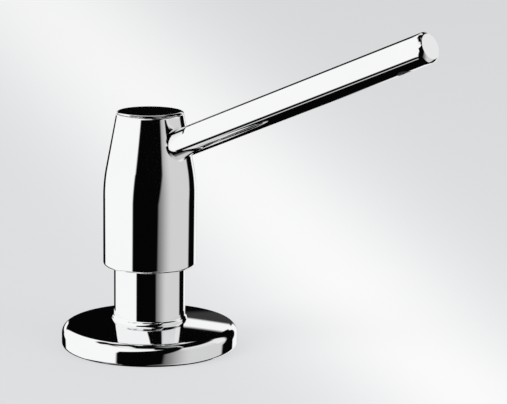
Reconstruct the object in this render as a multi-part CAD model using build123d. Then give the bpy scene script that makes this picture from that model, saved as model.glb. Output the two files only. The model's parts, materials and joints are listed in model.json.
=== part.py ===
from build123d import *
import os
from math import cos, pi, radians, sin, sqrt, tan

# Deck-mounted soap pump dispenser, in millimetres, +Z up.
# The origin is on the pump's axis at the top of the deck, and the spout points along +X.
# Heights (names that end in _z) are measured from the deck, and most are worked out below.

# Base flange and its gasket
flange_radius = 27.5
flange_height = 8.55
flange_fall = 2.0
flange_edge_round = 2.8
flange_foot_round = 1.2
gasket_inset = 3.0
gasket_width = 5.0
gasket_thickness = 1.6

# Pump cylinder, cap and dip tube
pump_bore_radius = 6.6
cylinder_wall = 1.4
cylinder_flange_thickness = 1.6
cylinder_floor = 3.0
cap_thickness = 2.6
cap_hub_length = 6.0
nipple_wall = 2.0
nipple_length = 10.0
tube_radius = 3.0
tube_wall = 0.9
tube_floor_gap = 7.0
tube_tip_angle = 35.0
cartridge_gasket_thickness = 1.0

# Valves
inlet_ball_radius = 2.5
inlet_hole_radius = 1.9
inlet_lift = 1.5
outlet_ball_radius = 2.1
outlet_lift = 1.2
ball_side_gap = 0.4
ball_seat_gap = 0.05
cage_base_height = 5.0
cage_slot_width = 1.8
cage_roof = 1.0

# Piston, rod and spring
stroke = 12.0
rod_radius = 3.5
rod_bore_radius = 1.6
rod_foot_thickness = 1.5
rod_foot_width = 0.8
piston_length = 8.0
piston_stop_gap = 0.2
seal_groove_width = 2.0
seal_groove_depth = 1.3
spring_wire = 1.0
spring_turns = 9
spring_side_gap = 0.8

# Guide stem
spigot_wall = 1.4
spigot_length = 12.0
stem_wall = 1.15
stem_seat_height = 3.0
stem_lead_in = 0.4
foot_lip_height = 0.9
foot_lip_bulge = 0.25
foot_flare_width = 0.4
foot_flare_height = 0.6

# Pump head
head_gap = 17.3
bush_inset = 1.2
bush_length = 8.0
bush_wall = 1.87
stem_overlap = 1.0
skirt_wall = 1.35
head_foot_round = 1.0
head_crown_height = 19.7
head_knee_drop = 22.2
head_knee_round = 50.0
head_taper = 4.2
top_cap_thickness = 2.2
top_cap_rise = 0.7
top_cap_round = 1.0
top_cap_seam = 0.15
top_cap_spigot_inset = 1.25
socket_depth = 4.5
socket_wall = 1.4
socket_roof = 0.8

# Spout, from the pump's axis to its end face
spout_rise_angle = 22.5
spout_length = 111.1
spout_radius = 4.5
spout_wall = 1.75
spout_root_rise = 5.6
spout_channel_radius = 1.5
spout_seal_thickness = 1.0
spout_grip = 3.5
spout_relief = 0.6
tip_thickness = 3.0
tip_chamfer = 0.8
tip_spigot_length = 3.0
nozzle_radius = 2.2
nozzle_bore_radius = 1.3
nozzle_setback = 10.5

# Threaded shank, clamp washer and nut, on a deck of the given thickness
deck_thickness = 12.0
shank_length = 54.0
shank_wall = 2.6
shank_neck_wall = 1.5
shank_seat_depth = 1.5
collar_depth = 4.0
collar_step = 0.2
nut_thread_depth = 1.0
nut_thread_pitch = 2.5
nut_thread_end = 37.0
washer_width = 10.5
washer_thickness = 1.5
nut_height = 10.0
nut_width = 36.0
nut_chamfer = 1.2

# Bottle and its seal
bottle_radius = 33.0
bottle_body_height = 88.0
bottle_wall = 1.6
bottle_shoulder_angle = 45.0
bottle_shoulder_round = 10.0
bottle_base_round = 6.0
bottle_neck_round = 3.0
bottle_neck_wall = 2.8
bottle_ledge = 4.0
bottle_mouth_lip = 0.4
bottle_thread_depth = 1.0
bottle_thread_pitch = 4.0
bottle_thread_length = 12.0
bottle_thread_runout = 1.0
bottle_seal_thickness = 1.5
grip_count = 24
grip_depth = 0.5

# Shape of a thread's ridges, as shares of the pitch, and the spring's arcs in a turn
ridge_foot = 0.75
ridge_land = 0.25
quarters = 4

# Clearances
running_fit = 0.08
press_gap = 0.05
screw_gap = 0.1
thread_gap = 0.25
loose_gap = 0.3
cartridge_gap = 0.5
shank_gap = 1.4
head_clearance = 1.3
cavity_gap = 1.0
channel_land = 0.5

# Radii, worked out from the pump bore outwards
cylinder_radius = pump_bore_radius + cylinder_wall
spigot_bore = cylinder_radius + cartridge_gap
spigot_radius = spigot_bore + spigot_wall
stem_bore = spigot_radius + screw_gap
stem_radius = stem_bore + stem_wall
foot_radius = stem_radius + foot_flare_width + foot_lip_bulge
cartridge_radius = stem_radius - loose_gap / 2
bush_bore = stem_radius + running_fit
bush_radius = bush_bore + bush_wall
head_radius = bush_radius + press_gap + skirt_wall
cavity_radius = cartridge_radius + cavity_gap
head_top_radius = head_radius - head_taper
top_cap_radius = head_top_radius + top_cap_rise * head_taper / head_knee_drop
top_cap_spigot_radius = head_top_radius - top_cap_spigot_inset
spring_radius = pump_bore_radius - spring_side_gap - spring_wire / 2
cage_hub_radius = spring_radius - spring_wire / 2 - loose_gap
cage_bore = inlet_ball_radius + ball_side_gap
rod_socket_radius = rod_radius + running_fit + socket_wall
chamber_radius = outlet_ball_radius + ball_side_gap
nipple_radius = tube_radius + press_gap + nipple_wall
tube_bore = tube_radius - tube_wall
spout_bore = spout_radius - spout_wall
gasket_outer = flange_radius - gasket_inset
gasket_inner = gasket_outer - gasket_width
shank_bore = cylinder_radius + shank_gap
nut_thread_root = shank_bore + shank_wall
nut_thread_crest = nut_thread_root + nut_thread_depth
collar_radius = nut_thread_crest + collar_step
washer_inner = collar_radius + loose_gap
washer_outer = washer_inner + washer_width
bottle_thread_root = shank_bore + shank_neck_wall
bottle_thread_crest = bottle_thread_root + bottle_thread_depth
bottle_seal_radius = bottle_thread_crest + 2 * thread_gap
bottle_neck_radius = bottle_seal_radius + bottle_neck_wall
bottle_mouth = shank_bore + bottle_mouth_lip

# Heights above the deck, from the flange up
head_bottom_z = flange_height + head_gap
bush_bottom_z = head_bottom_z + bush_inset
bush_top_z = bush_bottom_z + bush_length
stem_top_z = bush_top_z + stem_overlap
cylinder_flange_z = stem_top_z + cartridge_gasket_thickness
cylinder_top_z = cylinder_flange_z + cylinder_flange_thickness
cap_top_z = cylinder_top_z + cap_thickness
ceiling_z = cap_top_z + stroke + head_clearance
head_top_z = ceiling_z + head_crown_height
head_knee_z = head_top_z - head_knee_drop
head_rim_z = head_top_z - top_cap_rise
top_cap_bottom_z = head_top_z - top_cap_thickness
spout_axis_z = ceiling_z + spout_root_rise
rod_top_z = ceiling_z + socket_depth - press_gap

# Heights inside the pump, from the cap down
piston_top_z = cylinder_top_z - cap_hub_length - piston_stop_gap
piston_bottom_z = piston_top_z - piston_length
rod_bottom_z = piston_bottom_z - rod_foot_thickness
spring_solid_height = (spring_turns + 2) * spring_wire
cage_ledge_z = piston_bottom_z - stroke - spring_solid_height - press_gap
cylinder_floor_z = cage_ledge_z - cage_base_height
nipple_top_z = cylinder_floor_z - cylinder_floor
nipple_bottom_z = nipple_top_z - nipple_length
inlet_ball_z = cylinder_floor_z + sqrt(inlet_ball_radius**2 - inlet_hole_radius**2) + ball_seat_gap
cage_bore_top_z = inlet_ball_z + inlet_ball_radius + inlet_lift + loose_gap
cage_top_z = cage_bore_top_z + cage_roof
outlet_ball_z = rod_top_z + sqrt(outlet_ball_radius**2 - rod_bore_radius**2) + ball_seat_gap
chamber_top_z = outlet_ball_z + outlet_ball_radius + outlet_lift + loose_gap
socket_top_z = chamber_top_z + socket_roof

# Heights under the deck
collar_bottom_z = -collar_depth
nut_thread_bottom_z = -nut_thread_end
shank_step_z = nut_thread_bottom_z - bottle_thread_runout
shank_bottom_z = -shank_length
bottle_thread_bottom_z = shank_bottom_z + bottle_thread_runout
bottle_thread_top_z = bottle_thread_bottom_z + bottle_thread_length
washer_top_z = -deck_thickness
nut_top_z = washer_top_z - washer_thickness
nut_bottom_z = nut_top_z - nut_height
bottle_top_z = bottle_thread_top_z + bottle_thread_runout
bottle_seat_z = shank_bottom_z - bottle_seal_thickness
bottle_neck_bottom_z = bottle_seat_z - bottle_ledge
shoulder_tangent = tan(radians(bottle_shoulder_angle))
bottle_shoulder_z = bottle_neck_bottom_z - (bottle_radius - bottle_neck_radius) / shoulder_tangent
bottle_bottom_z = bottle_shoulder_z - bottle_body_height
tube_bottom_z = bottle_bottom_z + bottle_wall + tube_floor_gap

# The spout's own frame: Z runs out along the spout and X points down, out of its underside
spout_angle = radians(spout_rise_angle)
spout_plane = Plane(
    origin=(0, 0, spout_axis_z),
    x_dir=(sin(spout_angle), 0, -cos(spout_angle)),
    z_dir=(cos(spout_angle), 0, sin(spout_angle)),
)
spout_clear_of_socket = rod_socket_radius + press_gap + channel_land
spout_seat = (spout_clear_of_socket + spout_radius * sin(spout_angle)) / cos(spout_angle)
spout_start = spout_seat + spout_seal_thickness
tip_start = spout_length - tip_thickness
nozzle_place = spout_length - nozzle_setback

BASE = (Align.CENTER, Align.CENTER, Align.MIN)


def rod(radius, bottom, top):
    """Round bar on the pump's axis between two heights."""
    return Pos(0, 0, bottom) * Cylinder(radius, top - bottom, align=BASE)


def ring(outer, inner, bottom, top):
    """Round bar with a hole right through it."""
    return rod(outer, bottom, top) - rod(inner, bottom, top)


def turned(section):
    """Section in (radius, height), spun about the pump's axis."""
    return revolve(Plane.XZ * section, Axis.Z)


def polygon(*points):
    """Closed flat section through the given points."""
    return make_face(Polyline(*points, close=True))


def corner(section, radius, height):
    """The section's corner that lies nearest to a point."""
    return section.vertices().sort_by_distance((radius, height, 0))[0]


def rounded(section, *rounds):
    """Section with each given (radius, height) corner rounded."""
    for radius, height, size in rounds:
        section = fillet(corner(section, radius, height), size)
    return section


def along_spout(radius, start, end):
    """Round bar on the spout's axis between two distances from the pump's axis."""
    return spout_plane * rod(radius, start, end)


def threaded_bar(root, crest, pitch, bottom, top):
    """Bar with its thread drawn as one ridge for each pitch that fits on it."""
    outline = [(0, bottom), (root, bottom)]
    for turn in range(int((top - bottom) / pitch)):
        ridge_z = bottom + (turn + 0.5) * pitch
        outline += [
            (root, ridge_z - ridge_foot * pitch / 2),
            (crest, ridge_z - ridge_land * pitch / 2),
            (crest, ridge_z + ridge_land * pitch / 2),
            (root, ridge_z + ridge_foot * pitch / 2),
        ]
    outline += [(root, top), (0, top)]
    return turned(polygon(*outline))


def coil_arcs(radius, bottom, height, turns):
    """Helix as a pair of tangent arcs for each quarter turn."""
    steps = quarters * turns
    climb = height / (2 * pi * turns)

    def point(step):
        angle = 2 * pi * step / quarters
        return Vector(radius * cos(angle), radius * sin(angle), bottom + height * step / steps)

    def heading(step):
        angle = 2 * pi * step / quarters
        return Vector(-radius * sin(angle), radius * cos(angle), climb).normalized()

    arcs = []
    for step in range(steps):
        start, end = point(step), point(step + 1)
        leave, arrive = heading(step), heading(step + 1)
        span = end - start
        along = span.dot(leave + arrive)
        bend = 2 * (1 - leave.dot(arrive))
        reach = (sqrt(along**2 + bend * span.dot(span)) - along) / bend
        first, second = start + leave * reach, end - arrive * reach
        joint = (first + second) * 0.5
        arcs.append(Edge.make_tangent_arc(start, leave, joint))
        arcs.append(Edge.make_tangent_arc(joint, second - first, end))
    return arcs


def base_flange():
    edge_z = flange_height - flange_fall
    section = polygon(
        (spigot_radius + screw_gap, 0),
        (flange_radius, 0),
        (flange_radius, edge_z),
        (foot_radius, flange_height),
        (spigot_radius + screw_gap, flange_height),
    )
    section = rounded(
        section,
        (flange_radius, edge_z, flange_edge_round),
        (flange_radius, 0, flange_foot_round),
    )
    groove = ring(gasket_outer + press_gap, gasket_inner - press_gap, 0, gasket_thickness)
    shank_seat = rod(collar_radius + loose_gap, 0, shank_seat_depth)
    return turned(section) - groove - shank_seat


def deck_gasket():
    return ring(gasket_outer, gasket_inner, 0, gasket_thickness)


def guide_stem():
    lip_top_z = flange_height + foot_lip_height
    flare_top = (stem_radius, lip_top_z + foot_flare_height)
    lip_top = (foot_radius - foot_lip_bulge, lip_top_z)
    lip_bottom = (foot_radius, flange_height)
    shoulder_z = stem_top_z - stem_seat_height
    outside = [
        TangentArc(flare_top, lip_top, tangent=(0, -1)),
        TangentArc(lip_bottom, lip_top, tangent=(0, 1)),
        Polyline(
            lip_bottom,
            (stem_bore, flange_height),
            (stem_bore, shoulder_z),
            (spigot_bore, shoulder_z),
            (spigot_bore, stem_top_z),
            (stem_radius - stem_lead_in, stem_top_z),
            (stem_radius, stem_top_z - stem_lead_in),
            flare_top,
        ),
    ]
    return turned(make_face(outside))


def threaded_shank():
    spigot = rod(spigot_radius, shank_seat_depth, flange_height + spigot_length)
    seat = rod(nut_thread_crest, 0, shank_seat_depth)
    collar = rod(collar_radius, collar_bottom_z, 0)
    nut_thread = threaded_bar(
        nut_thread_root, nut_thread_crest, nut_thread_pitch, nut_thread_bottom_z, collar_bottom_z
    )
    runout = rod(nut_thread_root, shank_step_z, nut_thread_bottom_z)
    waist = rod(bottle_thread_root, bottle_thread_top_z, shank_step_z)
    bottle_thread = threaded_bar(
        bottle_thread_root,
        bottle_thread_crest,
        bottle_thread_pitch,
        bottle_thread_bottom_z,
        bottle_thread_top_z,
    )
    end = rod(bottle_thread_root, shank_bottom_z, bottle_thread_bottom_z)
    bore = rod(shank_bore, shank_bottom_z, 0) + rod(spigot_bore, 0, flange_height + spigot_length)
    upper = spigot + seat + collar + nut_thread + runout
    return upper + waist + bottle_thread + end - bore


def clamp_washer():
    return ring(washer_outer, washer_inner, nut_top_z, washer_top_z)


def mounting_nut():
    hexagon = RegularPolygon(nut_width / 2, 6, major_radius=False)
    block = Pos(0, 0, nut_bottom_z) * extrude(hexagon, nut_height)
    corner_radius = nut_width / 2 / cos(pi / 6)
    blank = rod(corner_radius, nut_bottom_z, nut_top_z)
    blank = chamfer(blank.edges().filter_by(GeomType.CIRCLE), nut_chamfer)
    bore = nut_thread_crest + thread_gap
    thread = threaded_bar(bore, bore + nut_thread_depth, nut_thread_pitch, nut_bottom_z, nut_top_z)
    return (block & blank) - thread


def bottle_seal():
    return ring(bottle_seal_radius, shank_bore, bottle_seat_z, shank_bottom_z)


def soap_bottle():
    outside = polygon(
        (0, bottle_bottom_z),
        (bottle_radius, bottle_bottom_z),
        (bottle_radius, bottle_shoulder_z),
        (bottle_neck_radius, bottle_neck_bottom_z),
        (bottle_neck_radius, bottle_top_z),
        (0, bottle_top_z),
    )
    outside = rounded(
        outside,
        (bottle_radius, bottle_bottom_z, bottle_base_round),
        (bottle_radius, bottle_shoulder_z, bottle_shoulder_round),
        (bottle_neck_radius, bottle_neck_bottom_z, bottle_neck_round),
    )
    inner_radius = bottle_radius - bottle_wall
    inner_floor_z = bottle_bottom_z + bottle_wall
    inner_shoulder_z = bottle_shoulder_z - bottle_wall * tan(radians(bottle_shoulder_angle) / 2)
    mouth_bottom_z = inner_shoulder_z + (inner_radius - bottle_mouth) / shoulder_tangent
    inside = polygon(
        (0, inner_floor_z),
        (inner_radius, inner_floor_z),
        (inner_radius, inner_shoulder_z),
        (bottle_mouth, mouth_bottom_z),
        (bottle_mouth, bottle_seat_z),
        (0, bottle_seat_z),
    )
    inside = rounded(
        inside,
        (inner_radius, inner_floor_z, bottle_base_round - bottle_wall),
        (inner_radius, inner_shoulder_z, bottle_shoulder_round - bottle_wall),
    )
    seal_seat = rod(bottle_seal_radius + press_gap, bottle_seat_z, shank_bottom_z)
    bore = bottle_thread_crest + thread_gap
    thread = threaded_bar(
        bore, bore + bottle_thread_depth, bottle_thread_pitch, shank_bottom_z, bottle_top_z
    )
    bottle = turned(outside) - turned(inside) - seal_seat - thread
    grip = rod(grip_depth, bottle_neck_bottom_z + bottle_neck_round, bottle_top_z)
    return bottle - [place * grip for place in PolarLocations(bottle_neck_radius, grip_count)]


def pump_cylinder():
    flange = rod(cartridge_radius, cylinder_flange_z, cylinder_top_z)
    barrel = rod(cylinder_radius, nipple_top_z, cylinder_flange_z)
    barrel = chamfer(barrel.edges().sort_by(Axis.Z)[0], cylinder_wall)
    nipple = rod(nipple_radius, nipple_bottom_z, nipple_top_z)
    bore = rod(pump_bore_radius, cylinder_floor_z, cylinder_top_z)
    inlet = rod(inlet_hole_radius, nipple_bottom_z, cylinder_floor_z)
    tube_socket = rod(tube_radius + press_gap, nipple_bottom_z, nipple_top_z)
    return flange + barrel + nipple - bore - inlet - tube_socket


def cartridge_gasket():
    return ring(cartridge_radius, cylinder_radius + press_gap, stem_top_z, cylinder_flange_z)


def cylinder_cap():
    plate = rod(cartridge_radius, cylinder_top_z, cap_top_z)
    plate = chamfer(plate.edges().sort_by(Axis.Z)[-1], loose_gap)
    hub = rod(pump_bore_radius - press_gap, cylinder_top_z - cap_hub_length, cylinder_top_z)
    return plate + hub - rod(rod_radius + running_fit, cylinder_top_z - cap_hub_length, cap_top_z)


def ball_cage():
    base = rod(pump_bore_radius - press_gap, cylinder_floor_z, cage_ledge_z)
    hub = rod(cage_hub_radius, cage_ledge_z, cage_top_z)
    slot_bottom_z = cage_ledge_z
    slot_height = cage_bore_top_z - slot_bottom_z
    slot = Pos(0, 0, slot_bottom_z) * Box(
        2 * cage_hub_radius, cage_slot_width, slot_height, align=BASE
    )
    pocket = rod(cage_bore, cylinder_floor_z, cage_bore_top_z)
    return base + hub - pocket - slot - Rot(0, 0, 90) * slot


def inlet_ball():
    return Pos(0, 0, inlet_ball_z) * Sphere(inlet_ball_radius)


def outlet_ball():
    return Pos(0, 0, outlet_ball_z) * Sphere(outlet_ball_radius)


def return_spring():
    bottom = cage_ledge_z + spring_wire / 2 + press_gap
    height = piston_bottom_z - press_gap - spring_wire / 2 - bottom
    arcs = coil_arcs(spring_radius, bottom, height, spring_turns)
    path = Wire(arcs)
    points = [arc @ 0.5 for arc in arcs]
    half_turn = quarters
    apart = min(
        (points[low] - points[high]).length
        for low in range(len(points))
        for high in range(low + half_turn, len(points))
    )
    print("return_spring: least gap between turns", round(apart - spring_wire, 3), "mm")
    section = Plane(origin=path @ 0, z_dir=path % 0) * Circle(spring_wire / 2)
    return sweep(section, path=path)


def dip_tube():
    tube = ring(tube_radius, tube_bore, tube_bottom_z, nipple_top_z - press_gap)
    reach = 4 * tube_radius
    wedge = Pos(0, 0, tube_bottom_z) * Rot(0, tube_tip_angle, 0) * Box(
        2 * reach, 2 * reach, reach, align=(Align.CENTER, Align.CENTER, Align.MAX)
    )
    return tube - Pos(0, 0, tube_radius * tan(radians(tube_tip_angle))) * wedge


def piston_rod():
    shaft = rod(rod_radius, piston_bottom_z, rod_top_z)
    foot = rod(rod_radius + rod_foot_width, rod_bottom_z, piston_bottom_z)
    return shaft + foot - rod(rod_bore_radius, rod_bottom_z, rod_top_z)


def piston():
    body = ring(pump_bore_radius - running_fit, rod_radius + press_gap, piston_bottom_z, piston_top_z)
    groove_bottom_z = (piston_bottom_z + piston_top_z - seal_groove_width) / 2
    groove_radius = pump_bore_radius - running_fit - seal_groove_depth
    groove = ring(pump_bore_radius, groove_radius, groove_bottom_z, groove_bottom_z + seal_groove_width)
    return body - groove


def piston_seal():
    groove_bottom_z = (piston_bottom_z + piston_top_z - seal_groove_width) / 2
    inner = pump_bore_radius - running_fit - seal_groove_depth + press_gap
    seal = ring(
        pump_bore_radius - press_gap,
        inner,
        groove_bottom_z + press_gap,
        groove_bottom_z + seal_groove_width - press_gap,
    )
    rims = seal.edges().filter_by(GeomType.CIRCLE).sort_by(SortBy.RADIUS)[-2:]
    return fillet(rims, seal_groove_width / 4)


def pump_head():
    section = polygon(
        (0, head_bottom_z),
        (head_radius, head_bottom_z),
        (head_radius, head_knee_z),
        (top_cap_radius, head_rim_z),
        (0, head_rim_z),
    )
    section = rounded(
        section,
        (head_radius, head_bottom_z, head_foot_round),
        (head_radius, head_knee_z, head_knee_round),
    )
    bush_seat = rod(bush_radius + press_gap, head_bottom_z, bush_top_z)
    cavity = rod(cavity_radius, bush_top_z, ceiling_z)
    rod_seat = rod(rod_socket_radius + press_gap, ceiling_z, socket_top_z)
    cap_seat = rod(top_cap_spigot_radius + press_gap, top_cap_bottom_z, head_rim_z)
    spout_socket = along_spout(spout_radius + press_gap, spout_seat, 2 * head_radius)
    relief = along_spout(spout_radius + spout_relief, spout_seat + spout_grip, 2 * head_radius)
    channel = along_spout(spout_channel_radius, 0, spout_seat)
    head = turned(section) - bush_seat - cavity - rod_seat
    return head - cap_seat - spout_socket - relief - channel


def top_cap():
    seam_top_z = head_rim_z + top_cap_seam
    edge_top = (head_top_radius - top_cap_round, head_top_z)
    edge_bottom = (top_cap_radius, seam_top_z)
    outside = [
        TangentArc(edge_top, edge_bottom, tangent=(1, 0)),
        Polyline(
            edge_bottom,
            (top_cap_spigot_radius, seam_top_z),
            (top_cap_spigot_radius, top_cap_bottom_z),
            (0, top_cap_bottom_z),
            (0, head_top_z),
            edge_top,
        ),
    ]
    return turned(make_face(outside))


def guide_bush():
    return ring(bush_radius, bush_bore, bush_bottom_z, bush_top_z)


def rod_socket():
    insert = rod(rod_socket_radius, ceiling_z, socket_top_z)
    rod_hole = rod(rod_radius + running_fit, ceiling_z, ceiling_z + socket_depth)
    chamber = rod(chamber_radius, ceiling_z, chamber_top_z)
    channel = along_spout(spout_channel_radius, 0, spout_seat)
    return insert - rod_hole - chamber - channel


def spout_tube():
    tube = along_spout(spout_radius, spout_start, tip_start)
    bore = along_spout(spout_bore, spout_start, tip_start)
    return tube - bore - nozzle_bar(nozzle_radius + press_gap)


def nozzle_bar(radius):
    """Round bar across the spout, from its bore out through its underside."""
    return spout_plane * Pos(0, 0, nozzle_place) * Rot(0, 90, 0) * rod(radius, 0, 2 * spout_radius)


def outlet_nozzle():
    wall = along_spout(spout_radius, spout_start, tip_start) - along_spout(spout_bore, spout_start, tip_start)
    return (wall & nozzle_bar(nozzle_radius)) - nozzle_bar(nozzle_bore_radius)


def spout_seal():
    outer = along_spout(spout_radius, spout_seat, spout_start)
    return outer - along_spout(spout_bore, spout_seat, spout_start)


def spout_tip():
    disc = along_spout(spout_radius, tip_start, spout_length)
    end_edge = disc.edges().filter_by(GeomType.CIRCLE).sort_by(Axis.X)[-1]
    disc = chamfer(end_edge, tip_chamfer)
    return disc + along_spout(spout_bore - press_gap, tip_start - tip_spigot_length, tip_start)


pieces = [
    base_flange,
    deck_gasket,
    guide_stem,
    threaded_shank,
    clamp_washer,
    mounting_nut,
    bottle_seal,
    soap_bottle,
    pump_cylinder,
    cartridge_gasket,
    cylinder_cap,
    ball_cage,
    inlet_ball,
    return_spring,
    dip_tube,
    piston_rod,
    piston,
    piston_seal,
    outlet_ball,
    pump_head,
    top_cap,
    guide_bush,
    rod_socket,
    spout_tube,
    spout_tip,
    spout_seal,
    outlet_nozzle,
]

os.makedirs("parts", exist_ok=True)
for piece in pieces:
    export_step(piece(), os.path.join("parts", piece.__name__ + ".step"))
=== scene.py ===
import json
from math import atan, degrees, pi, radians, sin, tan

import bmesh
import bpy
import numpy as np
from mathutils import Matrix, Vector

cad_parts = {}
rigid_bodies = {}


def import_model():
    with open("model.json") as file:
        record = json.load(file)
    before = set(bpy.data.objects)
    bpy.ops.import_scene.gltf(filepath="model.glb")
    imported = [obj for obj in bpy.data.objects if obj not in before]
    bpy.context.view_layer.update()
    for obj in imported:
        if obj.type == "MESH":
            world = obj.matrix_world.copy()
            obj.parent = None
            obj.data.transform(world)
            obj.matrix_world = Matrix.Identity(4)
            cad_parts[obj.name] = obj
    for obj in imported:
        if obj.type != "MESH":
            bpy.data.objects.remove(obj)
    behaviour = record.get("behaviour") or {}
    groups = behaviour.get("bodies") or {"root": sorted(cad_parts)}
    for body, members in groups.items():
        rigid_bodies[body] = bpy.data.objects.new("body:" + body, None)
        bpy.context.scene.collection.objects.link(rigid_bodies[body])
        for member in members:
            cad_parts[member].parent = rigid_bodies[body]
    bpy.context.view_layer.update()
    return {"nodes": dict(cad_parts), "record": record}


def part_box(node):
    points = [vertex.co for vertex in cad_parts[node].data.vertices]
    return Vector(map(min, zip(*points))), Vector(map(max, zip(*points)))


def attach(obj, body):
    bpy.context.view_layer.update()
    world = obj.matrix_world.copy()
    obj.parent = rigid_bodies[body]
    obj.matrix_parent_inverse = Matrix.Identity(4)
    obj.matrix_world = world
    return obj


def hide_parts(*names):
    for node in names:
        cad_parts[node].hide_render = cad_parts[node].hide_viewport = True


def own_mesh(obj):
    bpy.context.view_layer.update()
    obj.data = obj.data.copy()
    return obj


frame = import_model()

# Deck-mounted soap pump dispenser: its looks, in metres, in the frame of its solids.
# The deck's top is at height 0, the pump's axis is +Z and the spout points along +X.

MM = 0.001

# Sizes that the solids give
flange_radius, _, flange_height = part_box("base_flange")[1]
gasket_radius, _, gasket_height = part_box("deck_gasket")[1]
foot_radius, _, stem_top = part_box("guide_stem")[1]
head_radius, _, head_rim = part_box("pump_head")[1]
head_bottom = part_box("pump_head")[0].z
bush_radius, _, bush_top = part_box("guide_bush")[1]
cap_radius, _, cap_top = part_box("top_cap")[1]
cap_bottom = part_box("top_cap")[0].z
socket_radius, _, socket_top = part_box("rod_socket")[1]
head_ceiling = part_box("rod_socket")[0].z
spout_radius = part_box("spout_tube")[1].y
spring_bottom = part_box("return_spring")[0].z
spring_side, _, spring_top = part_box("return_spring")[1]

# Base flange
flange_bore = 10.0 * MM
flange_fall = 2.0 * MM
flange_edge_round = 2.8 * MM
flange_foot_round = 1.2 * MM
gasket_width = 5.0 * MM
shank_seat_radius = 13.5 * MM
shank_seat_depth = 1.5 * MM

# Guide stem
stem_radius = 11.15 * MM
stem_bore = 10.0 * MM
stem_mouth = 8.5 * MM
stem_seat_height = 3.0 * MM
stem_lead_in = 0.4 * MM
foot_lip_height = 0.9 * MM
foot_lip_bulge = 0.25 * MM
foot_flare_height = 0.6 * MM

# Pump head
head_foot_round = 1.0 * MM
head_rim_round = 0.8 * MM
head_knee_drop = 22.2 * MM
head_knee_round = 50.0 * MM
head_cavity = 12.0 * MM
cap_flat_radius = 9.3 * MM
cap_spigot = 9.05 * MM
cap_seam = 0.2 * MM
fit_gap = 0.05 * MM

# Spout
spout_height = 60.15 * MM
spout_rise = radians(22.5)
spout_start = 8.85 * MM
spout_length = 111.1 * MM
spout_bore = 2.75 * MM
tip_length = 3.0 * MM
tip_spigot = 3.0 * MM
tip_chamfer = 0.8 * MM
tip_lean = radians(49)
tip_crown = radians(12)
nozzle_radius = 2.2 * MM
nozzle_setback = 10.5 * MM
relief_start = 11.35 * MM
relief_width = 0.6 * MM

# Return spring
spring_wire = 1.0 * MM
spring_turns = 9

# Pieces that the deck hides, which the polished metal above it doesn't mirror
under_deck = (
    "soap_bottle",
    "bottle_seal",
    "threaded_shank",
    "clamp_washer",
    "mounting_nut",
    "dip_tube",
    "pump_cylinder",
    "deck_gasket",
)

# Fineness of the turned and wound surfaces
turn_steps = 256
arc_steps = 24
tube_rows = 140
wire_rows = 48
wire_steps = 16
sharp_angle = radians(30)
weld_distance = 0.001 * MM
sliver_length = 0.0001 * MM

# Where most of a noise's values lie
noise_range = (0.3, 0.7)

# Camera, fitted to the photograph
photo_width = 507
focal_pixels = 1968.7
sensor_width = 36.0
camera_place = (401.6 * MM, -447.15 * MM, 164.4 * MM)
camera_turn = (radians(78.843), radians(-0.734), radians(39.004))
camera_side = radians(41.9)
camera_near = 10 * MM

# Pale floor, and the painted band of light on it
floor_reach = 20.0
floor_grey = (0.706, 0.713, 0.727)
floor_glow = 0.8
painted_band_grey = (0.93, 0.93, 0.93)
band_source = (566 * MM, -356 * MM, 0)
band_direction = radians(140.8)
band_spread = radians(2.64)
band_fade = (200 * MM, 620 * MM)

# Studio panels that the polished metal mirrors. Each has its sides in degrees to the right of the camera,
# its heights in degrees over the horizon, the softness of its edges in degrees, and how far each of its
# sides leans to the right for each degree up.
left_panel = ((-149, -41), (-45, 52), 4, (-0.4, 0.2))
left_panel_wing = ((-100, -55), (4, 43), 4, (0.0, 1.75))
top_panel = ((-100, 8), (36, 60), 6, (0.0, 0.0))
low_strip = ((-125, -55), (-62, -58), 2, (0.0, 0.0))
left_rear_strip = ((-170, -140), (1, 12), 2, (0.0, 0.0))
right_panel = ((27, 116), (-62, 42), 6, (0.55, 0.4))
right_panel_end = ((96, 116), (4, 42), 8, (0.0, 0.4))
right_top_panel = ((38, 72), (64, 84), 8, (0.0, 0.0))
rear_panel = ((148, 175), (-45, 20.7), 2, (0.45, 0.25))
rear_flag = ((166, 200), (-9, 14.6), 2, (0.0, 0.0))

# The right panel brightens to the right and upwards, and the flag takes light off the rear panel
right_fade_sides = (radians(11), radians(57))
right_fade_lights = (0.11, 0.67)
right_lift_heights = (radians(5), radians(40))
right_lift_lights = (0.0, 0.14)
rear_panel_light = 0.97
rear_flag_shade = 0.93

# Panels overhead: their reach to the right and towards the camera for each metre up
ceiling_panels = (((-0.5, -0.25), (0.0, 0.5)), ((-0.35, 0.3), (-0.9, -0.45)))
ceiling_softness = 4
ceiling_light = 0.9
least_rise = 0.001

# Light of the black flags between the panels, and of the pale room that all else sees
flag_light = 0.0015
room_grey = (0.72, 0.73, 0.75)

# Soft lamps that light what isn't polished
lamp_size = 0.6
left_lamp_place = (-0.35, -0.75, 0.7)
left_lamp_power = 6.0
right_lamp_place = (0.85, 0.15, 0.6)
right_lamp_power = 3.0


def unit(vector):
    """The vector, made one long."""
    return vector / np.linalg.norm(vector)


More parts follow.
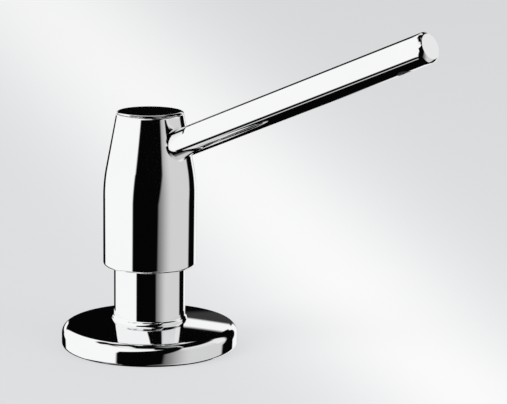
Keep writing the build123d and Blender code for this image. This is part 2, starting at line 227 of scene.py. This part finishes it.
def outline(*corners):
    """Line through (radius, height, rounding) corners. A rounded corner is an arc about the point that
    lies its rounding away from both sides: the two touching points are turned into each other evenly."""
    before = corners[-1:] + corners[:-1]
    after = corners[1:] + corners[:1]
    share = np.linspace(0, 1, arc_steps + 1)[:, None]
    stretches = []
    for back, here, ahead in zip(before, corners, after):
        corner, rounding = np.array(here[:2]), here[2]
        if rounding == 0:
            stretches.append(corner[None])
            continue
        to_back = unit(np.array(back[:2]) - corner)
        to_ahead = unit(np.array(ahead[:2]) - corner)
        half = np.arccos(to_back @ to_ahead) / 2
        centre = corner + unit(to_back + to_ahead) * rounding / sin(half)
        start = corner + to_back * rounding / tan(half) - centre
        end = corner + to_ahead * rounding / tan(half) - centre
        sweep = pi - 2 * half
        arc = (np.sin((1 - share) * sweep) * start + np.sin(share * sweep) * end) / sin(sweep)
        stretches.append(centre + arc)
    return np.vstack(stretches)


def turned(name, line, place=Matrix.Identity(4)):
    """Surface of revolution: the point (radius, height) of the line, at angle a round the axis, is
    (radius cos a, radius sin a, height), carried to its place. A line that starts on the axis ends
    there, and its two poles are closed; any other line is a closed loop."""
    angle = np.linspace(0, 2 * pi, turn_steps, endpoint=False)
    radius, height = line[:, :1], line[:, 1:]
    grid = np.stack(
        [radius * np.cos(angle), radius * np.sin(angle), np.repeat(height, turn_steps, axis=1)], axis=-1
    )
    turn, shift = np.array(place.to_3x3()), np.array(place.translation)
    return skin(name, grid @ turn.T + shift, loop=line[0, 0] > 0)


def skin(name, grid, loop):
    """Surface over a grid of points. Its columns close on themselves, and in a loop its rows do too."""
    rows, columns = grid.shape[:2]
    strips = rows if loop else rows - 1
    row = np.arange(strips)[:, None] * columns
    next_row = (np.arange(1, strips + 1)[:, None] % rows) * columns
    column = np.arange(columns)
    next_column = (column + 1) % columns
    faces = np.stack(
        [row + column, row + next_column, next_row + next_column, next_row + column], axis=-1
    )
    mesh = bpy.data.meshes.new(name)
    mesh.from_pydata(grid.reshape(-1, 3).tolist(), [], faces.reshape(-1, 4).tolist())
    close_surface(mesh)
    return bpy.data.objects.new(name, mesh)


def close_surface(mesh):
    """Joins the doubled points at seams and poles, points the faces outwards and smooths round faces."""
    work = bmesh.new()
    work.from_mesh(mesh)
    bmesh.ops.remove_doubles(work, verts=work.verts, dist=weld_distance)
    bmesh.ops.dissolve_degenerate(work, edges=work.edges, dist=sliver_length)
    bmesh.ops.recalc_face_normals(work, faces=work.faces)
    work.to_mesh(mesh)
    work.free()
    mesh.shade_smooth()
    mesh.set_sharp_from_angle(angle=sharp_angle)


def stand_for(piece, node, body, finish):
    """Puts a finished piece into the scene in place of a plain solid."""
    bpy.context.scene.collection.objects.link(piece)
    piece.data.materials.append(finish)
    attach(piece, body)
    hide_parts(node)


def flange_skin():
    """Flange turned from one closed loop: flat seat, sloping top, edge round, foot, gasket groove,
    shank seat and bore."""
    groove_outer = gasket_radius + fit_gap
    groove_inner = gasket_radius - gasket_width - fit_gap
    line = outline(
        (flange_bore, flange_height, 0),
        (foot_radius, flange_height, 0),
        (flange_radius, flange_height - flange_fall, flange_edge_round),
        (flange_radius, 0, flange_foot_round),
        (groove_outer, 0, 0),
        (groove_outer, gasket_height, 0),
        (groove_inner, gasket_height, 0),
        (groove_inner, 0, 0),
        (shank_seat_radius, 0, 0),
        (shank_seat_radius, shank_seat_depth, 0),
        (flange_bore, shank_seat_depth, 0),
    )
    return turned("flange_skin", line)


def stem_skin():
    """Sleeve turned from one closed loop. Its foot flares out on a quarter wave and ends in a lip that
    swells on a quarter of a sine down to the flange."""
    share = np.linspace(0, 1, arc_steps + 1)
    lip_radius = foot_radius - foot_lip_bulge
    lip_top = flange_height + foot_lip_height
    flare = np.column_stack(
        [
            stem_radius + (lip_radius - stem_radius) * (1 - np.cos(share * pi / 2)),
            lip_top + foot_flare_height * (1 - share),
        ]
    )
    lip = np.column_stack(
        [lip_radius + foot_lip_bulge * np.sin(share * pi / 2), lip_top - foot_lip_height * share]
    )
    shoulder = stem_top - stem_seat_height
    inside = np.array(
        [
            (stem_bore, flange_height),
            (stem_bore, shoulder),
            (stem_mouth, shoulder),
            (stem_mouth, stem_top),
            (stem_radius - stem_lead_in, stem_top),
            (stem_radius, stem_top - stem_lead_in),
        ]
    )
    return turned("stem_skin", np.vstack([flare, lip[1:], inside]))


def head_skin():
    """Barrel turned from the cap's seat, over the taper and down the skirt, then up its inside, with a
    narrow relief cut round the spout."""
    bush_seat = bush_radius + fit_gap
    rod_seat = socket_radius + fit_gap
    cap_seat = cap_spigot + fit_gap
    line = outline(
        (0, cap_bottom, 0),
        (cap_seat, cap_bottom, 0),
        (cap_seat, head_rim, 0),
        (cap_radius, head_rim, head_rim_round),
        (head_radius, cap_top - head_knee_drop, head_knee_round),
        (head_radius, head_bottom, head_foot_round),
        (bush_seat, head_bottom, 0),
        (bush_seat, bush_top, 0),
        (head_cavity, bush_top, 0),
        (head_cavity, head_ceiling, 0),
        (rod_seat, head_ceiling, 0),
        (rod_seat, socket_top, 0),
        (0, socket_top, 0),
    )
    pocket = bar(spout_radius + relief_width, relief_start, 2 * head_radius, spout_place())
    return cut(turned("head_skin", line), pocket)


def bar(radius, start, end, place):
    """Round bar on the axis of its place, to cut with."""
    return turned("bar", outline((0, start, 0), (radius, start, 0), (radius, end, 0), (0, end, 0)), place)


def cap_skin():
    """Flat button with a spigot. Its edge is an arc that leaves the flat top level and drops to the
    seam: at angle a it is (flat radius + bend sin a, top - bend (1 - cos a))."""
    reach = cap_radius - cap_flat_radius
    drop = cap_top - head_rim - cap_seam
    bend = (reach**2 + drop**2) / (2 * drop)
    angle = np.linspace(0, 2 * atan(drop / reach), arc_steps + 1)
    edge = np.column_stack([cap_flat_radius + bend * np.sin(angle), cap_top - bend * (1 - np.cos(angle))])
    below = [(cap_spigot, cap_top - drop), (cap_spigot, cap_bottom), (0, cap_bottom)]
    line = np.vstack([[(0, cap_top)], edge, below])
    return turned("cap_skin", line)


def spout_place():
    """The spout's own frame: Z runs out along it, and X points out of its underside."""
    lift = Matrix.Translation((0, 0, spout_height))
    return lift @ Matrix.Rotation(pi / 2 - spout_rise, 4, "Y")


def spout_skin():
    """Tube turned from one closed loop, with the nozzle's hole cut through its underside."""
    tip_start = spout_length - tip_length
    outside = np.column_stack(
        [np.full(tube_rows, spout_radius), np.linspace(spout_start, tip_start, tube_rows)]
    )
    inside = np.array([(spout_bore, tip_start), (spout_bore, spout_start)])
    tube = turned("spout_skin", np.vstack([outside, inside]), spout_place())
    across = Matrix.Translation((0, 0, spout_length - nozzle_setback)) @ Matrix.Rotation(pi / 2, 4, "Y")
    return cut(tube, bar(nozzle_radius + fit_gap, 0, 2 * spout_radius, spout_place() @ across))


def cut(piece, cutter):
    """The piece without what the cutter covers; the cutter is deleted."""
    scene = bpy.context.scene.collection.objects
    scene.link(piece)
    scene.link(cutter)
    change = piece.modifiers.new("cut", "BOOLEAN")
    change.operation = "DIFFERENCE"
    change.solver = "EXACT"
    change.object = cutter
    bpy.context.view_layer.update()
    ready = piece.evaluated_get(bpy.context.evaluated_depsgraph_get())
    mesh = bpy.data.meshes.new_from_object(ready)
    piece.modifiers.clear()
    piece.data = mesh
    scene.unlink(piece)
    bpy.data.objects.remove(cutter)
    close_surface(mesh)
    return piece


def tip_skin():
    """Plug turned on the spout's axis. Its end edge is a slightly crowned chamfer: an arc of one
    radius, whose point at angle a, near the chamfer's lean, is radius (sin a, cos a) from its centre."""
    tip_start = spout_length - tip_length
    spigot_radius = spout_bore - fit_gap
    angle = np.linspace(tip_lean - tip_crown, tip_lean + tip_crown, arc_steps + 1)
    bend = tip_chamfer / (np.sin(angle[-1]) - np.sin(angle[0]))
    edge = bend * np.column_stack([np.sin(angle) - np.sin(angle[-1]), np.cos(angle) - np.cos(angle[0])])
    inside = [
        (spout_radius, tip_start),
        (spigot_radius, tip_start),
        (spigot_radius, tip_start - tip_spigot),
        (0, tip_start - tip_spigot),
    ]
    line = np.vstack([[(0, spout_length)], edge + (spout_radius, spout_length), inside])
    return turned("tip_skin", line, spout_place())


def spring_skin():
    """Wound wire: at angle a along the helix and b round the wire, a point is the helix's own point
    (radius cos a, radius sin a, bottom + climb a), plus half the wire times (cos b outwards + sin b
    up across the wire). A row at each end draws the wire's end together to a point."""
    radius = spring_side - spring_wire / 2
    climb = (spring_top - spring_bottom - spring_wire) / (2 * pi * spring_turns)
    along = np.linspace(0, 2 * pi * spring_turns, spring_turns * wire_rows + 1)[:, None, None]
    around = np.linspace(0, 2 * pi, wire_steps, endpoint=False)[None, :, None]
    up_x, up_y, up_z = np.sin(along) * climb, -np.cos(along) * climb, np.full_like(along, radius)
    outwards = np.concatenate([np.cos(along), np.sin(along), np.zeros_like(along)], axis=2)
    across = np.concatenate([up_x, up_y, up_z], axis=2) / np.hypot(radius, climb)
    height = spring_bottom + spring_wire / 2 + climb * along
    helix = radius * outwards + height * (0, 0, 1)
    wire = helix + spring_wire / 2 * (np.cos(around) * outwards + np.sin(around) * across)
    ends = np.repeat(helix, wire_steps, axis=1)
    return skin("spring_skin", np.concatenate([ends[:1], wire, ends[-1:]]), loop=False)


def add(tree, kind, sockets=None, **settings):
    """New node with its settings made, and its sockets set to values or linked to other outputs."""
    node = tree.nodes.new(kind)
    for name, value in settings.items():
        setattr(node, name, value)
    for name, value in (sockets or {}).items():
        if isinstance(value, bpy.types.NodeSocket):
            tree.links.new(value, node.inputs[name])
        else:
            node.inputs[name].default_value = value
    return node


def maths(tree, operation, first, second=0.0):
    """One sum on one or two numbers."""
    return add(tree, "ShaderNodeMath", {0: first, 1: second}, operation=operation).outputs[0]


def spread(tree, value, low, high, to_low=0.0, to_high=1.0):
    """The value, carried smoothly from one range to another and held at its ends."""
    sockets = {"Value": value, "From Min": low, "From Max": high, "To Min": to_low, "To Max": to_high}
    return add(tree, "ShaderNodeMapRange", sockets, interpolation_type="SMOOTHSTEP").outputs[0]


def blank_finish(name):
    """Empty material: its node tree and its shader."""
    material = bpy.data.materials.new(name)
    material.use_nodes = True
    tree = material.node_tree
    return material, tree, tree.nodes["Principled BSDF"]


def grain(tree, per_metre, detail=3.0, stretch=(1, 1, 1)):
    """Even noise in the piece's own frame, with a number of features to the metre."""
    place = add(tree, "ShaderNodeTexCoord").outputs["Object"]
    scaled = add(tree, "ShaderNodeMapping", {"Vector": place, "Scale": stretch}).outputs[0]
    sockets = {"Vector": scaled, "Scale": per_metre, "Detail": detail}
    return add(tree, "ShaderNodeTexNoise", sockets).outputs["Fac"]


def tint(tree, shader, share, dark, pale):
    """Base colour between two close colours."""
    sockets = {"Fac": share, "Color1": (*dark, 1), "Color2": (*pale, 1)}
    tree.links.new(add(tree, "ShaderNodeMixRGB", sockets).outputs[0], shader.inputs["Base Color"])


def gloss(tree, shader, share, smooth, dull):
    """Roughness between two values."""
    tree.links.new(spread(tree, share, *noise_range, smooth, dull), shader.inputs["Roughness"])


def relief(tree, shader, height, depth):
    """Bump of a real depth in metres."""
    bump = add(tree, "ShaderNodeBump", {"Height": height, "Strength": 1.0, "Distance": depth})
    tree.links.new(bump.outputs[0], shader.inputs["Normal"])


def polished_chrome():
    """Mirror plating with a faint haze left by wiping."""
    material, tree, shader = blank_finish("polished_chrome")
    haze = grain(tree, 45, 5)
    shader.inputs["Metallic"].default_value = 1.0
    tint(tree, shader, haze, (0.90, 0.905, 0.915), (0.95, 0.952, 0.955))
    gloss(tree, shader, haze, 0.012, 0.035)
    return material


def turned_brass():
    """Brass from the lathe: fine rings round its axis and slightly dulled patches."""
    material, tree, shader = blank_finish("turned_brass")
    rings = grain(tree, 400, 2, (0.05, 0.05, 12))
    dulled = grain(tree, 120)
    shader.inputs["Metallic"].default_value = 1.0
    tint(tree, shader, dulled, (0.56, 0.38, 0.14), (0.80, 0.60, 0.28))
    gloss(tree, shader, dulled, 0.22, 0.38)
    relief(tree, shader, rings, 0.02 * MM)
    return material


def zinc_plate():
    """Zinc plating: cool, mottled crystals with a soft gloss."""
    material, tree, shader = blank_finish("zinc_plate")
    place = add(tree, "ShaderNodeTexCoord").outputs["Object"]
    crystals = add(tree, "ShaderNodeTexVoronoi", {"Vector": place, "Scale": 450.0}).outputs["Color"]
    mottle = grain(tree, 260, 4)
    shade = add(tree, "ShaderNodeSeparateXYZ", {"Vector": crystals}).outputs[0]
    shader.inputs["Metallic"].default_value = 1.0
    tint(tree, shader, shade, (0.52, 0.54, 0.57), (0.68, 0.70, 0.73))
    gloss(tree, shader, mottle, 0.28, 0.45)
    relief(tree, shader, mottle, 0.01 * MM)
    return material


def bright_stainless():
    """Drawn stainless wire and polished balls, with fine scratches."""
    material, tree, shader = blank_finish("bright_stainless")
    scratches = grain(tree, 900, 2, (1, 1, 6))
    shader.inputs["Metallic"].default_value = 1.0
    tint(tree, shader, scratches, (0.56, 0.57, 0.59), (0.70, 0.71, 0.73))
    gloss(tree, shader, scratches, 0.14, 0.28)
    return material


def moulded(name, dark, pale, smooth, dull, pits):
    """Moulded plastic or rubber: a slight drift of colour and a fine pitted skin of a real depth."""
    material, tree, shader = blank_finish(name)
    drift = grain(tree, 60, 4)
    pitting = grain(tree, 2600, 2)
    tint(tree, shader, drift, dark, pale)
    gloss(tree, shader, pitting, smooth, dull)
    relief(tree, shader, pitting, pits)
    return material, shader


def black_nylon():
    """Dark glass-filled nylon with a satin skin."""
    return moulded("black_nylon", (0.018, 0.018, 0.02), (0.035, 0.035, 0.038), 0.35, 0.5, 0.02 * MM)[0]


def seal_rubber():
    """Matt black rubber."""
    return moulded("seal_rubber", (0.012, 0.012, 0.013), (0.03, 0.03, 0.031), 0.6, 0.8, 0.03 * MM)[0]


def white_plastic():
    """Smooth white pump plastic."""
    return moulded("white_plastic", (0.76, 0.76, 0.74), (0.84, 0.84, 0.82), 0.25, 0.38, 0.008 * MM)[0]


def bearing_plastic():
    """Waxy natural-coloured plastic that slides."""
    return moulded("bearing_plastic", (0.60, 0.59, 0.54), (0.70, 0.69, 0.64), 0.35, 0.5, 0.012 * MM)[0]


def bottle_plastic():
    """Blow-moulded plastic that lets a little light into its skin."""
    material, shader = moulded("bottle_plastic", (0.74, 0.76, 0.75), (0.84, 0.86, 0.85), 0.3, 0.45, 0.02 * MM)
    shader.inputs["Subsurface Weight"].default_value = 0.3
    shader.inputs["Subsurface Radius"].default_value = (2.0 * MM, 2.0 * MM, 2.0 * MM)
    return material


def tube_plastic():
    """Extruded clear-milky tube."""
    material, shader = moulded("tube_plastic", (0.72, 0.75, 0.77), (0.84, 0.86, 0.87), 0.25, 0.4, 0.002 * MM)
    shader.inputs["Transmission Weight"].default_value = 0.2
    shader.inputs["IOR"].default_value = 1.5
    return material


def dress_solids(finishes):
    """Gives each solid that stays in view the finish of its material slot."""
    for subpart in frame["record"]["subparts"]:
        solid = frame["nodes"][subpart["node"]]
        for slot in solid.material_slots:
            slot.material = finishes[subpart["material_slot"]]


def past(tree, value, edge, soft):
    """Nothing below an edge in degrees and one beyond it, with a soft change."""
    return spread(tree, value, radians(edge - soft / 2), radians(edge + soft / 2))


def window(tree, value, edges, soft, tilts=(0.0, 0.0), lean_with=0.0):
    """One between two edges and nothing outside them. Each edge may lean with another value."""
    start, end = [
        past(tree, maths(tree, "SUBTRACT", value, maths(tree, "MULTIPLY", lean_with, tilt)), edge, soft)
        for edge, tilt in zip(edges, tilts)
    ]
    return maths(tree, "SUBTRACT", start, end)


def panel(tree, side, height, shape, light):
    """A studio panel of a given light, in its own range of directions round the object and above it."""
    sides, heights, soft, tilts = shape
    across = window(tree, side, sides, soft, tilts, height)
    upright = window(tree, height, heights, soft)
    return maths(tree, "MULTIPLY", maths(tree, "MULTIPLY", across, upright), light)


def ceiling(tree, axes, across, along):
    """A panel overhead, given by its reach to the right and towards the camera for each metre up."""
    up = maths(tree, "MAXIMUM", axes["Z"], least_rise)
    right = maths(tree, "ARCTANGENT", maths(tree, "DIVIDE", axes["X"], up))
    near = maths(tree, "ARCTANGENT", maths(tree, "DIVIDE", maths(tree, "MULTIPLY", axes["Y"], -1.0), up))
    wide = window(tree, right, [degrees(atan(edge)) for edge in across], ceiling_softness)
    deep = window(tree, near, [degrees(atan(edge)) for edge in along], ceiling_softness)
    return maths(tree, "MULTIPLY", maths(tree, "MULTIPLY", wide, deep), ceiling_light)


def studio():
    """The room: polished metal sees white panels and black flags round it, in directions measured
    from the camera's side, and everything else sees an even pale room."""
    world = bpy.data.worlds.new("studio")
    bpy.context.scene.world = world
    world.use_nodes = True
    tree = world.node_tree
    tree.nodes.clear()
    direction = add(tree, "ShaderNodeTexCoord").outputs["Generated"]
    facing = add(
        tree, "ShaderNodeVectorRotate", {"Vector": direction, "Angle": -camera_side}, rotation_type="Z_AXIS"
    ).outputs[0]
    axes = add(tree, "ShaderNodeSeparateXYZ", {"Vector": facing}).outputs
    side = maths(tree, "ARCTAN2", axes["X"], maths(tree, "MULTIPLY", axes["Y"], -1.0))
    height = maths(tree, "ARCSINE", axes["Z"])
    across_light = spread(tree, side, *right_fade_sides, *right_fade_lights)
    lift_light = spread(tree, height, *right_lift_heights, *right_lift_lights)
    right_light = maths(tree, "ADD", across_light, lift_light)
    shade = panel(tree, side, height, rear_flag, rear_flag_shade)
    rear_light = maths(tree, "SUBTRACT", rear_panel_light, shade)
    panels = [
        (left_panel, 1.0),
        (left_panel_wing, 1.0),
        (top_panel, 0.9),
        (low_strip, 0.7),
        (left_rear_strip, 1.0),
        (right_panel, right_light),
        (right_panel_end, 0.86),
        (right_top_panel, 0.25),
        (rear_panel, rear_light),
    ]
    light = flag_light
    for shape, strength in panels:
        light = maths(tree, "MAXIMUM", light, panel(tree, side, height, shape, strength))
    for across, along in ceiling_panels:
        light = maths(tree, "MAXIMUM", light, ceiling(tree, axes, across, along))
    white = (1, 1, 1, 1)
    seen_in_metal = add(tree, "ShaderNodeBackground", {"Color": white, "Strength": light}).outputs[0]
    room = add(tree, "ShaderNodeBackground", {"Color": (*room_grey, 1), "Strength": 1.0}).outputs[0]
    glossy = add(tree, "ShaderNodeLightPath").outputs["Is Glossy Ray"]
    mix = add(tree, "ShaderNodeMixShader", {0: glossy, 1: room, 2: seen_in_metal})
    out = add(tree, "ShaderNodeOutputWorld")
    tree.links.new(mix.outputs[0], out.inputs[0])


def deck_floor():
    """Plain pale floor at the deck's top, seen from above only. A wide soft band of painted light lies in its
    colour:
    a bell curve of the direction from one point on the floor, which fades in with the distance."""
    mesh = bpy.data.meshes.new("deck_floor")
    corners = [(x * floor_reach, y * floor_reach, 0) for x, y in ((-1, -1), (1, -1), (1, 1), (-1, 1))]
    mesh.from_pydata(corners, [], [(0, 1, 2, 3)])
    floor = bpy.data.objects.new("deck_floor", mesh)
    bpy.context.scene.collection.objects.link(floor)
    floor.visible_glossy = False
    material = bpy.data.materials.new("pale_deck")
    material.use_nodes = True
    tree = material.node_tree
    tree.nodes.clear()
    place = add(tree, "ShaderNodeTexCoord").outputs["Object"]
    out_from = add(tree, "ShaderNodeVectorMath", {0: place, 1: band_source}, operation="SUBTRACT").outputs[0]
    axes = add(tree, "ShaderNodeSeparateXYZ", {"Vector": out_from}).outputs
    turn = maths(tree, "ARCTAN2", axes["Y"], axes["X"])
    off = maths(tree, "DIVIDE", maths(tree, "SUBTRACT", turn, band_direction), band_spread)
    bell = maths(tree, "EXPONENT", maths(tree, "MULTIPLY", maths(tree, "MULTIPLY", off, off), -0.5))
    distance = add(tree, "ShaderNodeVectorMath", {0: out_from}, operation="LENGTH").outputs["Value"]
    bell = maths(tree, "MULTIPLY", bell, spread(tree, distance, *band_fade))
    # Painted light: the band's lighter grey is mixed into the floor's colour, in both its matt and its
    # glowing part
    greys = {"Fac": bell, "Color1": (*floor_grey, 1), "Color2": (*painted_band_grey, 1)}
    shade = add(tree, "ShaderNodeMixRGB", greys).outputs[0]
    matt = add(tree, "ShaderNodeBsdfDiffuse", {"Color": shade}).outputs[0]
    even = add(tree, "ShaderNodeEmission", {"Color": shade, "Strength": 1.0}).outputs[0]
    above = add(tree, "ShaderNodeMixShader", {0: floor_glow, 1: matt, 2: even}).outputs[0]
    below = add(tree, "ShaderNodeBsdfTransparent").outputs[0]
    from_below = add(tree, "ShaderNodeNewGeometry").outputs["Backfacing"]
    mix = add(tree, "ShaderNodeMixShader", {0: from_below, 1: above, 2: below}).outputs[0]
    out = add(tree, "ShaderNodeOutputMaterial")
    tree.links.new(mix, out.inputs[0])
    mesh.materials.append(material)


def soft_lamp(name, place, power):
    """Square soft lamp that faces the object."""
    lamp = bpy.data.lights.new(name, "AREA")
    lamp.size = lamp_size
    lamp.energy = power
    holder = bpy.data.objects.new(name, lamp)
    holder.location = place
    holder.rotation_euler = (-Vector(place)).to_track_quat("-Z", "Y").to_euler()
    holder.visible_glossy = False
    bpy.context.scene.collection.objects.link(holder)


def photo_camera():
    """Camera at the photograph's place and angle."""
    camera = bpy.data.cameras.new("photo_camera")
    camera.sensor_width = sensor_width
    camera.lens = focal_pixels / photo_width * sensor_width
    camera.clip_start = camera_near
    holder = bpy.data.objects.new("photo_camera", camera)
    holder.location = camera_place
    holder.rotation_euler = camera_turn
    bpy.context.scene.collection.objects.link(holder)
    bpy.context.scene.camera = holder


chrome = polished_chrome()
finishes = {
    "chrome": chrome,
    "brass": turned_brass(),
    "zinc_steel": zinc_plate(),
    "stainless": bright_stainless(),
    "black_nylon": black_nylon(),
    "rubber": seal_rubber(),
    "bottle_plastic": bottle_plastic(),
    "tube_plastic": tube_plastic(),
    "white_plastic": white_plastic(),
    "bearing_plastic": bearing_plastic(),
}
dress_solids(finishes)
for name in under_deck:
    frame["nodes"][name].visible_glossy = False

stand_for(flange_skin(), "base_flange", "deck_body", chrome)
stand_for(stem_skin(), "guide_stem", "deck_body", chrome)
stand_for(head_skin(), "pump_head", "head", chrome)
stand_for(cap_skin(), "top_cap", "head", chrome)
stand_for(spout_skin(), "spout_tube", "head", chrome)
stand_for(tip_skin(), "spout_tip", "head", chrome)

spring = spring_skin()
stand_for(spring, "return_spring", "cartridge", finishes["stainless"])
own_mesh(spring)

studio()
deck_floor()
soft_lamp("left_softbox", left_lamp_place, left_lamp_power)
soft_lamp("right_softbox", right_lamp_place, right_lamp_power)
photo_camera()
bpy.context.scene.view_settings.view_transform = "Standard"
